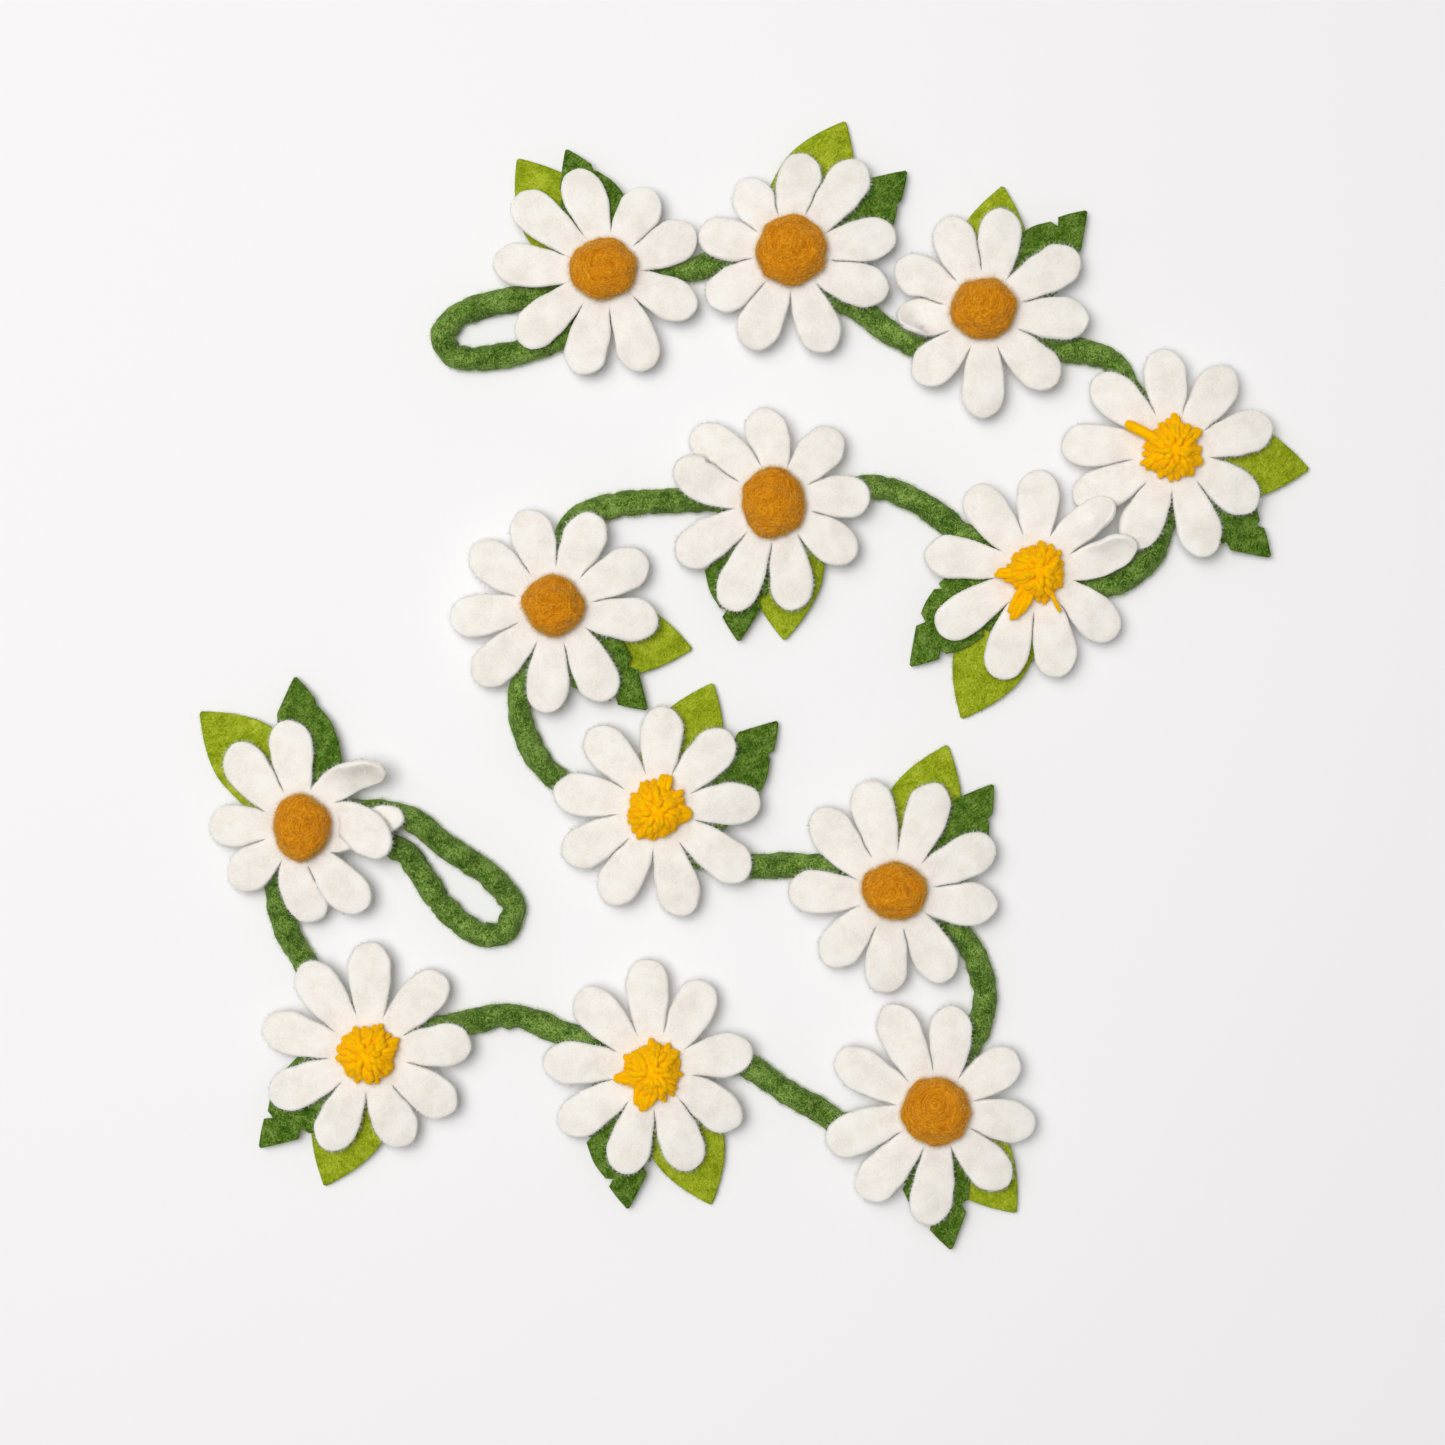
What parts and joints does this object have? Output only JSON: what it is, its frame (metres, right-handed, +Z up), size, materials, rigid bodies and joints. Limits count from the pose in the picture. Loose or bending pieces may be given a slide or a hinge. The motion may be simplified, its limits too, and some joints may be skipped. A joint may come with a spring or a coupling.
{
  "type": "felt flower garland",
  "caption": "Garland of felt daisies with felted ball or yarn pompom centres and two leaves each, sewn along a green felted wool rope with a hanging loop at each end.",
  "frame": {"origin": "on the table under the middle of the laid-out garland's box", "axes": "+Z up from the table, +X to the right and +Y to the top of the layout as seen from above"},
  "size_m": [0.4352, 0.4424, 0.0321],
  "materials": {
    "green_rope_felt": "wet-felted wool rope, mottled dark and light green, fuzzy",
    "lime_felt": "pressed wool felt, matte, lime green",
    "dark_green_felt": "pressed wool felt, matte, dark green",
    "cream_felt": "thick pressed wool felt, matte, off-white, faintly mottled",
    "ochre_felt": "needle-felted wool, matte, ochre, with swirling fibres",
    "yellow_yarn": "soft wool yarn, matte, golden yellow"
  },
  "bodies": {
    "root": {"rope": "green_rope_felt", "lime_leaf_01": "lime_felt", "dark_leaf_01": "dark_green_felt", "petals_01": "cream_felt", "ball_01": "ochre_felt", "lime_leaf_02": "lime_felt", "dark_leaf_02": "dark_green_felt", "petals_02": "cream_felt", "ball_02": "ochre_felt", "lime_leaf_03": "lime_felt", "dark_leaf_03": "dark_green_felt", "petals_03": "cream_felt", "ball_03": "ochre_felt", "lime_leaf_04": "lime_felt", "dark_leaf_04": "dark_green_felt", "petals_04": "cream_felt", "pompom_04": "yellow_yarn", "lime_leaf_05": "lime_felt", "dark_leaf_05": "dark_green_felt", "petals_05": "cream_felt", "pompom_05": "yellow_yarn", "lime_leaf_06": "lime_felt", "dark_leaf_06": "dark_green_felt", "petals_06": "cream_felt", "ball_06": "ochre_felt", "lime_leaf_07": "lime_felt", "dark_leaf_07": "dark_green_felt", "petals_07": "cream_felt", "ball_07": "ochre_felt", "lime_leaf_08": "lime_felt", "dark_leaf_08": "dark_green_felt", "petals_08": "cream_felt", "pompom_08": "yellow_yarn", "lime_leaf_09": "lime_felt", "dark_leaf_09": "dark_green_felt", "petals_09": "cream_felt", "ball_09": "ochre_felt", "lime_leaf_10": "lime_felt", "dark_leaf_10": "dark_green_felt", "petals_10": "cream_felt", "ball_10": "ochre_felt", "lime_leaf_11": "lime_felt", "dark_leaf_11": "dark_green_felt", "petals_11": "cream_felt", "pompom_11": "yellow_yarn", "lime_leaf_12": "lime_felt", "dark_leaf_12": "dark_green_felt", "petals_12": "cream_felt", "pompom_12": "yellow_yarn", "lime_leaf_13": "lime_felt", "dark_leaf_13": "dark_green_felt", "petals_13": "cream_felt", "ball_13": "ochre_felt"}
  },
  "joints": []
}
